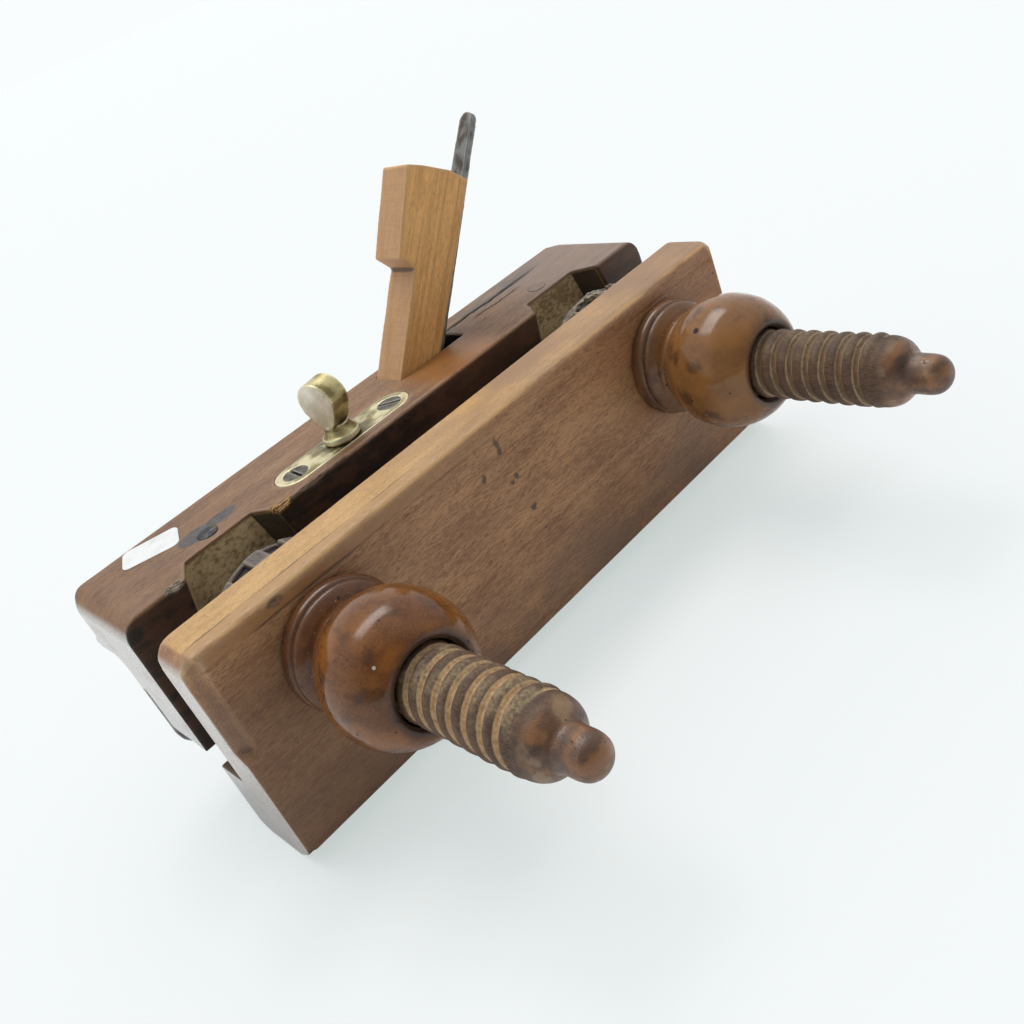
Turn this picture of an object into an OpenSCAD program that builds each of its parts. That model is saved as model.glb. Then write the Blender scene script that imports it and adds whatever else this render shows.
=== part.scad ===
// Wooden plough plane with screw stems: body, fence, nuts, iron, wedge and depth stop.
// X runs from toe (-X) to heel (+X), the fence is on the -Y side, +Z is up.
// The origin is the centre of the fence's flat sole.

/* [Blocks] */
// Length of the body and of the fence, toe to heel
plane_length = 210; // [204:1:225]
// Height of the fence
fence_height = 71.5; // [70.5:0.5:74]
// Thickness of the fence's wall
fence_thickness = 17; // [15.5:0.5:19]
// How far the fence's foot reaches under the body
foot_reach = 12.5; // [11:0.5:13.5]
// Height of the fence's foot
foot_height = 25; // [22:0.5:25]
// Space between the fence's wall and the body
block_gap = 17.5; // [17.5:0.5:19]
// Thickness of the body at its top
body_thickness = 40; // [39.5:0.5:43]
// Height of the body's wood
body_height = 44.5; // [44:0.5:46]
// How far the body's lower outer side steps in
step_depth = 16; // [15:0.2:16.6]

/* [Stems and nuts] */
// Distance between the two stems
stem_spacing = 138; // [134:1:144]
// Height of the stems' axes above the fence's sole
stem_height = 48.5; // [48:0.5:49.5]
// Radius of the stems over the thread
stem_r = 10; // [9:0.25:10.25]
// Distance from one turn of the thread to the next
thread_pitch = 5; // [4.5:0.5:6]
// Depth of the thread
thread_depth = 1.6; // [1:0.1:1.8]
// Length of thread that stands out in front of the fence
thread_length = 75; // [72:1:80]
// Radius of the nuts' balls
nut_ball_r = 19.7; // [18.8:0.1:20.4]
// Radius of the nuts' flanges
nut_flange_r = 17.8; // [16.5:0.1:18.6]
// Radius of the lock nuts over their teeth
lock_nut_r = 22; // [20.75:0.25:22.5]
// Notches around a lock nut
lock_notches = 12; // [8:1:12]

/* [Iron and wedge] */
// Pitch of the iron's bed above the horizontal
bed_angle = 49.5; // [48:0.5:51]
// Thickness of the iron
iron_thickness = 2.5; // [2:0.1:3]
// Width of the iron at its cutting edge
iron_width = 11; // [8:0.5:13]
// Width of the wedge across the body
wedge_width = 13.6; // [13:0.2:14.4]
// Thickness of the wedge where it enters the body
wedge_thickness = 14.6; // [13:0.2:15.4]
// Length of the wedge above the body, along the bed
wedge_rise = 54; // [48:1:60]

/* [Skate and depth stop] */
// Thickness of the skate
skate_thickness = 3; // [2.6:0.1:3.4]
// How far the skate stands below the body's wood
skate_drop = 9; // [8.5:0.5:10]
// Length of the brass plate between its screws
plate_span = 37; // [34:1:40]
// Width of the brass plate
plate_width = 13; // [12:0.2:13.6]
// Travel of the depth shoe
shoe_travel = 8; // [6:1:9]

/* [Hidden] */
$fn = 64;
// Clearances: fixed pieces in their seats, sliding pieces, nuts on their stems, and turning pieces
seat_gap = 0.05;
slide_gap = 0.15;
nut_gap = 0.3;
turn_room = 0.6;
past = 1;

// Main faces
half_length = plane_length / 2;
body_proud = 0.5;
body_top = fence_height + body_proud;
body_bottom = body_top - body_height;
body_inner = block_gap;
body_outer = body_inner + body_thickness;
lower_outer = body_outer - step_depth;
end_round = 6;
chamfer_leg = 4.5;
body_chamfer = 14;
step_drop = 19;
fence_chamfer = 30;

// Fence section
sole_half = 8;
sole_chamfer_rise = 5.5;
bead_w = 4.5;
bead_r = 2.4;
quirk = 0.6;

// Stems, nuts and their pockets
stem_x = stem_spacing / 2;
root_r = stem_r - thread_depth;
pocket_depth = 8.5;
pocket_back = body_inner + pocket_depth;
pocket_half = 20.4;
pocket_splay = 27.4;
pocket_lean = 10.6;
lock_boss_r = 18.2;
pocket_room = 1;
pocket_floor = stem_height - lock_boss_r - pocket_room;
shank_r = stem_r - 1;
shank_end = lower_outer - skate_thickness - 2;
thread_start = -fence_thickness - thread_length;
crest_share = 0.6;
tip_r = 5.2;
tip_length = 11;
shoulder_r = 3;
nail_r = 1.5;
nail_head_r = 3;
nail_head_t = 1.2;
nail_inset = 14.5;
nail_y = body_inner + nail_inset;
nail_bite = 4;
nail_end = stem_height - nail_bite;
flange_t = 5.2;
ball_clear = 4.3;
ball_centre = nut_ball_r + ball_clear;
nut_length = 38.6;
lock_start = 0.5;
lock_crown = 8.5;
lock_disc = 11.3;
lock_disc_r = lock_nut_r - 1.6;
lock_length = 19.5;
notch_w = 5.6;
notch_depth = 3;
notch_length = 9;
notch_turn = 13.2;

// Bed, wedge and iron, in the bed's own directions
bed_x = 28;
ease_length = 10;
ease_depth = 7;
wedge_inset = 26.4;
wedge_y = body_inner + wedge_inset;
wedge_taper = 2;
wedge_below = 45;
wedge_toe = 10;
head_step = 22.4;
head_low = 6;
head_high = 7.2;
iron_rise = 76;
edge_below_skate = 0.4;
edge_bevel = 4.5;
tang_width = 6;
edge_u = (body_bottom - skate_drop - edge_below_skate - body_top) / sin(bed_angle);

// Skate
skate_hold = 14.5;
skate_top = body_bottom + skate_hold;
skate_bottom = body_bottom - skate_drop;
skate_inner = lower_outer - skate_thickness;
mouth_gap = 5;
toe_round = 6;
edge_x = bed_x + edge_u * cos(bed_angle);
mouth_x = edge_x - mouth_gap;
mouth_slope = 60;
screw_head_r = 3.4;
screw_shank_r = 1.6;
screw_length = 11;
screw_rise = 9;
toe_inset = 12;
bed_inset = 6;
rear_inset = 52;
heel_inset = 14;
skate_screw_z = body_bottom + screw_rise;
skate_screw_x = [
  -half_length + toe_inset,
  mouth_x - toe_inset,
  bed_x + bed_inset,
  half_length - rear_inset,
  half_length - heel_inset
];

// Depth stop
plate_x = -21;
plate_inset = 11.2;
plate_y = body_inner + plate_inset;
plate_t = 2;
slot_w = 0.9;
plate_screw_head_r = 4;
plate_screw_length = 14;
slot_spread = 19.5;
slot_turn = 73.5;
disc_r = 6;
disc_t = 2.2;
waist_r = 3.9;
waist_t = 3;
paddle_t = 7.4;
paddle_turn = 14;
paddle_w = 13;
paddle_h = 15;
neck_r = 3;
shaft_r = 2.4;
ring_r = 5.4;
ring_t = 2.6;
ring_pin_r = 0.8;
ring_top = body_top - plate_t - slide_gap;
shoe_w = 9.6;
shoe_t = 4;
shoe_overhang = 6;
shoe_half = plate_span / 2 + shoe_overhang;
post_r = 4.6;
post_rise = 26;
post_grip = 8;
bore_past = 4;
post_top = body_bottom + post_rise;
shaft_end = post_top - shoe_travel - post_grip;
post_bore_end = shaft_end - bore_past;

// A block of the plane: a cross-section drawn as (y, z), run along X, with its two top ends rounded
module block(top, low) {
  intersection() {
    rotate([90, 0, 90])
      linear_extrude(plane_length, center = true)
        children();
    rotate([90, 0, 0])
      linear_extrude(4 * plane_length, center = true)
        end_outline(top, low);
  }
}

// Side outline of a block, drawn as (x, z)
module end_outline(top, low) {
  translate([-half_length, low])
    square([plane_length, top - end_round - low]);
  translate([-half_length + end_round, low])
    square([plane_length - 2 * end_round, top - low]);
  for (side = [-1, 1])
    translate([side * (half_length - end_round), top - end_round])
      circle(end_round);
}

// Chamfers on the upright outer edges at both ends, from the top down to a sloping stop
module stopped_chamfers(face_y, out, stop_z, top) {
  depth = chamfer_leg / sqrt(2);
  for (side = [-1, 1])
    translate([side * half_length, face_y, stop_z])
      rotate([0, 0, atan2(out, side)])
        rotate([90, 0, 0])
          linear_extrude(4 * chamfer_leg, center = true)
            polygon([
              [-depth, 0],
              [-depth, top - stop_z + past],
              [depth, top - stop_z + past],
              [depth, -2 * depth]
            ]);
}

module at_stem(side) {
  translate([side * stem_x, 0, stem_height])
    children();
}

// A turned shape whose outline is (radius, distance along +Y)
module turned(outline) {
  rotate([-90, 0, 0])
    rotate_extrude()
      polygon(outline);
}

// Directions of the bed: X up the iron, Z out of its face
module on_bed() {
  translate([bed_x, 0, body_top])
    rotate([0, -bed_angle, 0])
      children();
}

// Thickness of the wedge at a place along the bed
function wedge_at(u) = wedge_thickness + u * tan(wedge_taper);

// A flat shape drawn as (along the bed, out of its face), run across the body
module across_body(width) {
  translate([0, wedge_y, 0])
    rotate([90, 0, 0])
      linear_extrude(width, center = true)
        children();
}

module countersunk(head_r, shank_r, length) {
  cylinder(h = head_r - shank_r, r1 = head_r, r2 = shank_r);
  cylinder(h = length, r = shank_r);
}

module slot_cut(head_r) {
  translate([-head_r - past, -slot_w / 2, -past])
    cube([2 * (head_r + past), slot_w, slot_w + past]);
}

// Place on the brass plate, with Z pointing down from its top face
module below_plate(x) {
  translate([plate_x + x, plate_y, body_top])
    mirror([0, 0, 1])
      children();
}

module plate_shape(gap, depth) {
  below_plate(0) {
    for (side = [-1, 1])
      translate([side * plate_span / 2, 0, 0])
        cylinder(h = depth, r = plate_width / 2 + gap);
    translate([-plate_span / 2, -plate_width / 2 - gap, 0])
      cube([plate_span, plate_width + 2 * gap, depth]);
  }
}

// Section of the body: thick above, stepped in below with an ogee
module body_section() {
  ogee_r = 4;
  step_z = body_top - step_drop;
  edge = 2.5;
  difference() {
    union() {
      polygon([
        [body_inner, body_bottom],
        [lower_outer, body_bottom],
        [lower_outer, step_z - ogee_r],
        [lower_outer + ogee_r, step_z],
        [body_outer - ogee_r, step_z],
        [body_outer, step_z + ogee_r],
        [body_outer, body_top - edge],
        [body_outer - edge, body_top],
        [body_inner + quirk, body_top],
        [body_inner, body_top - quirk]
      ]);
      translate([body_outer - ogee_r, step_z + ogee_r])
        circle(ogee_r);
    }
    translate([lower_outer + ogee_r, step_z - ogee_r])
      circle(ogee_r);
  }
}

module skate_screws_at() {
  for (x = skate_screw_x)
    translate([x, lower_outer, skate_screw_z])
      rotate([90, 0, 0])
        children();
}

module body() {
  color("saddlebrown")
    difference() {
      block(body_top, body_bottom)
        body_section();
      stopped_chamfers(body_outer, 1, body_top - body_chamfer, body_top);
      for (side = [-1, 1])
        at_stem(side) {
          pocket();
          rotate([-90, 0, 0])
            cylinder(h = shank_end + seat_gap, r = shank_r + seat_gap);
        }
      for (side = [-1, 1])
        nail(side, seat_gap);
      mortise();
      skate_shape(-half_length - past, half_length + past, seat_gap);
      skate_screws_at()
        countersunk(screw_head_r + seat_gap, screw_shank_r + seat_gap, screw_length + seat_gap);
      depth_stop_room();
    }
}

// Splayed recess for a lock nut, open at the top, with side walls that lean in as they rise
module pocket() {
  intersection() {
    translate([-plane_length, body_inner - past, pocket_floor - stem_height])
      cube([2 * plane_length, pocket_depth + past, plane_length]);
    within_wall();
    mirror([1, 0, 0])
      within_wall();
  }
}

// All the space on the stem's side of a pocket's wall
module within_wall() {
  translate([pocket_half, body_inner, 0])
    rotate([0, -pocket_lean, pocket_splay])
      translate([-2 * plane_length, -plane_length, -plane_length])
        cube(2 * plane_length);
}

// The slanted slot for the iron and the wedge, open at the lower outer side.
// At the top it is eased behind the iron.
module mortise() {
  reach = 2 * plane_length;
  back = -iron_thickness - slide_gap;
  top = 20;
  width = wedge_width + 2 * slide_gap;
  across_body(width)
    polygon([
      [bed_x, body_top + past],
      [bed_x + ease_length, body_top + past],
      [bed_x + ease_length - past, body_top - ease_depth],
      [bed_x, body_top - ease_depth]
    ]);
  on_bed()
    across_body(width)
      polygon([
        [top, back],
        [top, wedge_at(top) + slide_gap],
        [-reach / 4, wedge_at(-reach / 4) + slide_gap],
        [-reach / 4, back]
      ]);
}

module depth_stop_room() {
  plate_shape(seat_gap, plate_t);
  for (side = [-1, 1])
    below_plate(side * plate_span / 2)
      countersunk(plate_screw_head_r, screw_shank_r + seat_gap, plate_screw_length + seat_gap);
  below_plate(0) {
    cylinder(h = plate_t + ring_t + 2 * turn_room, r = ring_r + turn_room);
    cylinder(h = body_height, r = shaft_r + turn_room);
  }
  translate([plate_x, plate_y, body_bottom - past])
    cylinder(h = post_top - body_bottom + 2 * past, r = post_r + slide_gap);
  translate([plate_x - shoe_half - nut_gap, plate_y - shoe_w / 2 - nut_gap, body_bottom - past])
    cube([2 * (shoe_half + nut_gap), shoe_w + 2 * nut_gap, shoe_t + past + nut_gap]);
}

// Section of the fence: wall, foot, chamfered sole and a bead along the top outer edge
module fence_section() {
  outer = -fence_thickness;
  foot_round = foot_reach - sole_half;
  bead_top = fence_height - bead_w;
  difference() {
    union() {
      polygon([
        [outer, sole_chamfer_rise],
        [-sole_half, 0],
        [sole_half, 0],
        [foot_reach, foot_round],
        [foot_reach, foot_height - quirk],
        [foot_reach - quirk, foot_height],
        [0, foot_height],
        [0, fence_height - quirk],
        [-quirk, fence_height],
        [outer + bead_r, fence_height],
        [outer, fence_height - bead_r]
      ]);
      translate([sole_half, foot_round])
        circle(foot_round);
      translate([outer + bead_r, fence_height - bead_r])
        circle(bead_r);
    }
    translate([outer + bead_w + quirk, fence_height])
      rotate(45)
        square(quirk, center = true);
    translate([outer, bead_top - quirk])
      rotate(45)
        square(quirk, center = true);
  }
}

module fence() {
  color("peru")
    difference() {
      block(fence_height, 0)
        fence_section();
      stopped_chamfers(-fence_thickness, -1, fence_height - fence_chamfer, fence_height);
      for (side = [-1, 1])
        at_stem(side)
          rotate([90, 0, 0])
            cylinder(h = 6 * fence_thickness, r = stem_r + 2 * nut_gap, center = true);
    }
}

// A stem: plain shank in the body, thread drawn as ridges, rounded shoulder and a finial
module stem(side) {
  turns = floor((pocket_back - thread_start) / thread_pitch);
  ridge_end = thread_start + turns * thread_pitch;
  finial = thread_start - shoulder_r;
  difference() {
    at_stem(side) {
      turned(concat(
        [[0, thread_start - past], [root_r, thread_start - past], [root_r, thread_start]],
        [for (i = [0 : turns - 1]) each [
          [stem_r, thread_start + (i + 0.5 - crest_share / 2) * thread_pitch],
          [stem_r, thread_start + (i + 0.5 + crest_share / 2) * thread_pitch],
          [root_r, thread_start + (i + 1) * thread_pitch]
        ]],
        [[shank_r, ridge_end], [shank_r, shank_end], [0, shank_end]]
      ));
      translate([0, thread_start, 0])
        rotate([90, 0, 0]) {
          cylinder(h = shoulder_r, r1 = root_r, r2 = stem_r - 1.5);
          translate([0, 0, shoulder_r])
            cylinder(h = 2.4, r1 = stem_r - 1.5, r2 = tip_r - 0.4);
          cylinder(h = shoulder_r + tip_length - tip_r / 2, r1 = tip_r - 0.6, r2 = tip_r);
          translate([0, 0, shoulder_r + tip_length - tip_r / 2])
            sphere(tip_r);
        }
    }
    nail(side, seat_gap);
  }
}

module toe_stem() {
  color("tan")
    stem(-1);
}

module heel_stem() {
  color("tan")
    stem(1);
}

// An iron nail from the body's top into a stem
module nail(side, gap) {
  translate([side * stem_x, nail_y, 0]) {
    translate([0, 0, nail_end - gap])
      cylinder(h = body_top - nail_end + 2 * gap - nail_head_t, r = nail_r + gap);
    translate([0, 0, body_top - nail_head_t - gap])
      cylinder(h = nail_head_t + 2 * gap, r = nail_head_r + gap);
  }
}

module stem_nails() {
  color("dimgray")
    for (side = [-1, 1])
      nail(side, 0);
}

// A turned nut: flange with a bead, a neck, and a ball around the stem
module nut(side) {
  neck_r = 13.4;
  bore_r = stem_r + nut_gap;
  mouth = 1.4;
  at_stem(side)
    translate([0, -fence_thickness - nut_gap, 0])
      mirror([0, 1, 0])
        difference() {
          union() {
            turned([
              [0, 0],
              [nut_flange_r - 1, 0],
              [nut_flange_r, 1.4],
              [nut_flange_r, flange_t - 1.2],
              [nut_flange_r - 0.5, flange_t - 0.4],
              [nut_flange_r - 1.1, flange_t],
              [nut_flange_r - 0.8, flange_t + 0.5],
              [nut_flange_r - 1.6, flange_t + 1.8],
              [neck_r, flange_t + 4],
              [neck_r, ball_centre],
              [0, ball_centre]
            ]);
            rotate([-90, 0, 0])
              intersection() {
                translate([0, 0, ball_centre])
                  sphere(nut_ball_r);
                translate([0, 0, flange_t + 2])
                  cylinder(h = nut_length - flange_t - 2, r = 2 * nut_ball_r);
              }
          }
          rotate([-90, 0, 0]) {
            translate([0, 0, -past])
              cylinder(h = nut_length + 2 * past, r = bore_r);
            translate([0, 0, nut_length - mouth])
              cylinder(h = mouth + seat_gap, r1 = bore_r, r2 = bore_r + mouth);
          }
        }
}

module toe_nut() {
  color("sienna")
    nut(-1);
}

module heel_nut() {
  color("sienna")
    nut(1);
}

// A lock nut: a toothed crown against the fence, a plain disc behind it, and a boss that enters the pocket
module lock_nut(side) {
  bore_r = stem_r + nut_gap;
  at_stem(side)
    translate([0, lock_start, 0])
      difference() {
        turned([
          [bore_r, 0],
          [lock_nut_r - 0.8, 0],
          [lock_nut_r, 0.8],
          [lock_nut_r, lock_crown - 0.6],
          [lock_nut_r - 0.6, lock_crown],
          [lock_disc_r, lock_crown],
          [lock_disc_r, lock_disc - 0.8],
          [lock_disc_r - 0.8, lock_disc],
          [lock_boss_r, lock_disc],
          [lock_boss_r, lock_length - 5.3],
          [lock_boss_r - 2.5, lock_length - 1.8],
          [lock_boss_r - 5, lock_length],
          [bore_r, lock_length]
        ]);
        for (i = [0 : lock_notches - 1])
          rotate([0, i * 360 / lock_notches + notch_turn, 0])
            translate([-notch_w / 2, -past, lock_nut_r - notch_depth])
              cube([notch_w, notch_length + past, notch_depth + past]);
      }
}

module toe_lock_nut() {
  color("rosybrown")
    lock_nut(-1);
}

module heel_lock_nut() {
  color("rosybrown")
    lock_nut(1);
}

// The skate's strip between two places along the body, let into the lower outer side
module skate_shape(x_from, x_to, gap) {
  translate([x_from, skate_inner - gap, skate_bottom])
    cube([x_to - x_from, skate_thickness + 2 * gap, skate_top - skate_bottom + gap]);
}

module front_skate() {
  color("dimgray")
    difference() {
      intersection() {
        skate_shape(-half_length, edge_x + plane_length, 0);
        translate([0, lower_outer + past, 0])
          rotate([90, 0, 0])
            linear_extrude(skate_thickness + 2 * past)
              front_skate_outline();
      }
      skate_screws_at()
        countersunk(screw_head_r + seat_gap, screw_shank_r + seat_gap, screw_length);
    }
}

module front_skate_outline() {
  slope_x = (skate_top - skate_bottom) / tan(mouth_slope);
  polygon([
    [-half_length + toe_round, skate_bottom],
    [mouth_x, skate_bottom],
    [mouth_x + slope_x, skate_top],
    [-half_length, skate_top],
    [-half_length, skate_bottom + toe_round]
  ]);
  translate([-half_length + toe_round, skate_bottom + toe_round])
    circle(toe_round);
}

module rear_skate() {
  color("dimgray")
    difference() {
      intersection() {
        skate_shape(edge_x - plane_length, half_length, 0);
        on_bed()
          translate([-2 * plane_length, -plane_length, -4 * plane_length - iron_thickness - slide_gap])
            cube([4 * plane_length, 3 * plane_length, 4 * plane_length]);
      }
      skate_screws_at()
        countersunk(screw_head_r + seat_gap, screw_shank_r + seat_gap, screw_length);
    }
}

module skate_screws() {
  color("gray")
    skate_screws_at()
      difference() {
        countersunk(screw_head_r, screw_shank_r, screw_length);
        slot_cut(screw_head_r);
      }
}

// A narrow iron: blade at the foot, tang narrowing to a rounded top
module iron() {
  blade_length = 34;
  round_r = tang_width / 2;
  color("slategray")
    on_bed()
      intersection() {
        translate([0, wedge_y, -iron_thickness])
          linear_extrude(iron_thickness) {
            polygon([
              [edge_u, -iron_width / 2],
              [edge_u + blade_length, -iron_width / 2],
              [iron_rise - round_r, -round_r],
              [iron_rise - round_r, round_r],
              [edge_u + blade_length, iron_width / 2],
              [edge_u, iron_width / 2]
            ]);
            translate([iron_rise - round_r, 0])
              circle(round_r);
          }
        across_body(2 * iron_width)
          polygon([
            [edge_u, 0],
            [iron_rise + past, 0],
            [iron_rise + past, -iron_thickness],
            [edge_u + edge_bevel, -iron_thickness]
          ]);
      }
}

// The wedge: tapered, with a head that overhangs in front above a notch
module wedge() {
  notch = 1.6;
  arc_rise = 0.8;
  arc_fall = 0.6;
  arc_drop = 2;
  arc_reach = 3;
  step_back = 0.4;
  face = slide_gap;
  color("burlywood")
    on_bed()
      across_body(wedge_width)
        polygon([
          [-wedge_below, face],
          [wedge_rise, face],
          [wedge_rise + arc_rise, wedge_thickness / 2],
          [wedge_rise - arc_fall, wedge_thickness + arc_reach],
          [wedge_rise - arc_drop, wedge_at(wedge_rise) + head_high],
          [head_step + notch, wedge_at(head_step) + head_low],
          [head_step, wedge_at(head_step) - step_back],
          [-wedge_below + wedge_toe, wedge_at(-wedge_below + wedge_toe)]
        ]);
}

module depth_plate() {
  color("darkkhaki")
    difference() {
      plate_shape(0, plate_t);
      for (side = [-1, 1])
        below_plate(side * plate_span / 2)
          translate([0, 0, -seat_gap])
            countersunk(plate_screw_head_r + 2 * seat_gap, screw_shank_r + seat_gap, 2 * plate_t);
      below_plate(0)
        translate([0, 0, -past])
          cylinder(h = plate_t + 2 * past, r = neck_r + slide_gap);
    }
}

module plate_screws() {
  color("silver")
    for (side = [-1, 1])
      below_plate(side * plate_span / 2)
        rotate([0, 0, side * slot_spread - slot_turn])
          difference() {
            countersunk(plate_screw_head_r, screw_shank_r, plate_screw_length);
            slot_cut(plate_screw_head_r);
          }
}

// The thumbscrew: paddle head, waist and disc above the plate, plain neck and screw below
module depth_screw() {
  lift = slide_gap;
  paddle_z = disc_t + waist_t - 0.6;
  top_r = paddle_w / 2;
  foot_r = 4.4;
  color("darkgoldenrod")
    translate([plate_x, plate_y, body_top + lift])
      difference() {
        union() {
          rotate_extrude()
            polygon([
              [0, 0],
              [disc_r - 0.5, 0],
              [disc_r, 0.6],
              [disc_r - 0.3, disc_t - 0.3],
              [disc_r - 1.1, disc_t + 0.2],
              [waist_r, disc_t + waist_t * 0.6],
              [waist_r, disc_t + waist_t],
              [0, disc_t + waist_t]
            ]);
          rotate([0, 0, paddle_turn])
            translate([-paddle_t / 2, 0, paddle_z])
              rotate([90, 0, 90])
                linear_extrude(paddle_t)
                  hull() {
                    translate([0, foot_r])
                      circle(foot_r, $fn = 32);
                    translate([0, paddle_h - top_r])
                      circle(top_r, $fn = 32);
                  }
          translate([0, 0, -plate_t - ring_t - lift])
            cylinder(h = plate_t + ring_t + 2 * lift, r = neck_r);
          translate([0, 0, shaft_end - body_top - lift])
            cylinder(h = body_top - shaft_end, r = shaft_r);
        }
        translate([-plate_x, -plate_y, -body_top - lift])
          ring_pin_at(seat_gap);
      }
}

module ring_pin_at(gap) {
  translate([plate_x, plate_y, ring_top - ring_t / 2])
    rotate([90, 0, 0])
      cylinder(h = 2 * ring_r - 0.6 + 2 * gap, r = ring_pin_r + gap, center = true);
}

// The ring under the plate that keeps the thumbscrew down
module screw_ring() {
  color("darkgoldenrod")
    difference() {
      translate([plate_x, plate_y, ring_top - ring_t])
        difference() {
          cylinder(h = ring_t, r = ring_r);
          translate([0, 0, -past])
            cylinder(h = ring_t + 2 * past, r = neck_r + seat_gap);
        }
      ring_pin_at(seat_gap);
    }
}

module ring_pin() {
  color("gray")
    ring_pin_at(0);
}

// The depth shoe: a bar in the sole with a threaded post that rises around the screw
module depth_shoe() {
  ski = 3;
  color("darkgoldenrod")
    difference() {
      union() {
        translate([plate_x, plate_y + shoe_w / 2, body_bottom])
          rotate([90, 0, 0])
            linear_extrude(shoe_w)
              polygon([
                [-shoe_half + ski, 0],
                [shoe_half - ski, 0],
                [shoe_half, ski],
                [shoe_half, shoe_t],
                [-shoe_half, shoe_t],
                [-shoe_half, ski]
              ]);
        translate([plate_x, plate_y, body_bottom + past])
          cylinder(h = post_top - body_bottom - past, r = post_r);
      }
      translate([plate_x, plate_y, post_bore_end])
        cylinder(h = body_top, r = shaft_r + 2 * seat_gap);
    }
}

body();
fence();
toe_stem();
heel_stem();
stem_nails();
toe_nut();
heel_nut();
toe_lock_nut();
heel_lock_nut();
front_skate();
rear_skate();
skate_screws();
iron();
wedge();
depth_plate();
plate_screws();
depth_screw();
screw_ring();
ring_pin();
depth_shoe();
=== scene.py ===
import math

import bmesh
import bpy
import numpy as np
from mathutils import Matrix, Vector, noise


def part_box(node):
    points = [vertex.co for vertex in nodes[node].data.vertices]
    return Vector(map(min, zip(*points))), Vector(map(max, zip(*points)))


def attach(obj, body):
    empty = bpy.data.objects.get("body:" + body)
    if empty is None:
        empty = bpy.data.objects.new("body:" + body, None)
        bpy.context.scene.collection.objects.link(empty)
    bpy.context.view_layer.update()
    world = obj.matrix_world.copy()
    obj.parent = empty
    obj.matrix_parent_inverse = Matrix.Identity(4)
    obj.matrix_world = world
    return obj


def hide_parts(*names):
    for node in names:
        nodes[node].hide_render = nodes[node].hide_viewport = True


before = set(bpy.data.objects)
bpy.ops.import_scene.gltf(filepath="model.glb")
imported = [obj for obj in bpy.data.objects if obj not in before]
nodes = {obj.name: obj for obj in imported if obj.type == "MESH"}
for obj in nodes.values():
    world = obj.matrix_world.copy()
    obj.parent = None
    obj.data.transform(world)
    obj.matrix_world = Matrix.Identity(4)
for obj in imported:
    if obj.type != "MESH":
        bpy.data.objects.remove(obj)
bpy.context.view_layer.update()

# The camera: held by hand above the toe and in front of the fence, looking down along the plane.
# The frame is turned, so the plane runs from the lower left of the picture to the upper right.
MM = 0.001
scene = bpy.context.scene
scene.view_settings.view_transform = "Standard"

camera = bpy.data.objects.new("camera", bpy.data.cameras.new("camera"))
camera.data.sensor_width = 36
camera.data.lens = 37.09
camera.data.clip_start = 0.01
to_right = Vector((0.66239, -0.66010, -0.35426))
to_top = Vector((0.58609, 0.16207, 0.79387))
camera.matrix_world = Matrix((to_right, to_top, to_right.cross(to_top))).transposed().to_4x4()
camera.location = Vector((-145.13, -233.68, 189.59)) * MM
scene.collection.objects.link(camera)
scene.camera = camera


# The studio: a sheet of white paper to stand on, under an even white tent.
# The tent is open toward the camera, and one long soft box hangs overhead, a little beyond the fence.
class Paint:
    """One value in a node tree: a colour, a mask or a place. Arithmetic on it adds Math nodes."""

    def __init__(self, tree, socket=None):
        self.tree = tree
        self.socket = socket

    def add(self, kind, settings, values, out=0):
        """Adds a node of any kind: its settings first, then a value or a link for each socket named."""
        node = self.tree.nodes.new("ShaderNode" + kind)
        for name, value in settings.items():
            setattr(node, name, value)
        for place, value in values.items():
            socket = node.inputs[place]
            if isinstance(value, Paint):
                self.tree.links.new(value.socket, socket)
            elif socket.type == "RGBA":
                socket.default_value = (*value, 1.0)
            else:
                socket.default_value = value
        return Paint(self.tree, node.outputs[out] if node.outputs else None)

    def math(self, operation, first, second=0.0):
        return self.add("Math", {"operation": operation}, {0: first, 1: second})

    def __add__(self, other):
        return self.math("ADD", self, other)

    def __sub__(self, other):
        return self.math("SUBTRACT", self, other)

    def __rsub__(self, other):
        return self.math("SUBTRACT", other, self)

    def __mul__(self, other):
        return self.math("MULTIPLY", self, other)

    def __abs__(self):
        return self.math("ABSOLUTE", self)

    __radd__ = __add__
    __rmul__ = __mul__

    def rise(self, start, end):
        """0 up to start and 1 from end on, eased between them. With start above end it falls instead."""
        ease = {"interpolation_type": "SMOOTHSTEP"}
        return self.add("MapRange", ease, {"Value": self, "From Min": start, "From Max": end})

    def mix(self, under, over):
        """The colour under, covered by the colour over as far as this mask says."""
        return self.add("Mix", {"data_type": "RGBA"}, {0: self, 6: under, 7: over}, 2)

    def mark(self, label):
        """A value that the mesh carries at each of its points."""
        return self.add("Attribute", {"attribute_name": label}, {}, "Fac")

    def facing(self):
        """How far the surface faces the heel: 1 straight at it, and -1 straight at the toe."""
        return self.add("TexCoord", {}, {}, "Normal").parts()[0]

    def parts(self):
        """The X, Y and Z of a place."""
        split = self.add("SeparateXYZ", {}, {0: self})
        return [Paint(self.tree, socket) for socket in split.socket.node.outputs]


def new_material(name):
    """An empty material, its node tree, and the place on the part in mm."""
    material = bpy.data.materials.new(name)
    material.use_nodes = True
    material.node_tree.nodes.clear()
    paint = Paint(material.node_tree)
    place = paint.add("TexCoord", {}, {}, "Object")
    return material, paint, paint.add("VectorMath", {"operation": "SCALE"}, {0: place, "Scale": 1 / MM})


def lay(paint, colour, roughness, relief=None, others=None):
    """Closes a material with its colour, its roughness, a relief in mm and any other values by name."""
    values = {"Base Color": colour, "Roughness": roughness, **(others or {})}
    if relief is not None:
        values["Normal"] = paint.add("Bump", {}, {"Height": relief, "Distance": MM, "Strength": 1.0})
    paint.add("OutputMaterial", {}, {"Surface": paint.add("BsdfPrincipled", {}, values)})


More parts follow.
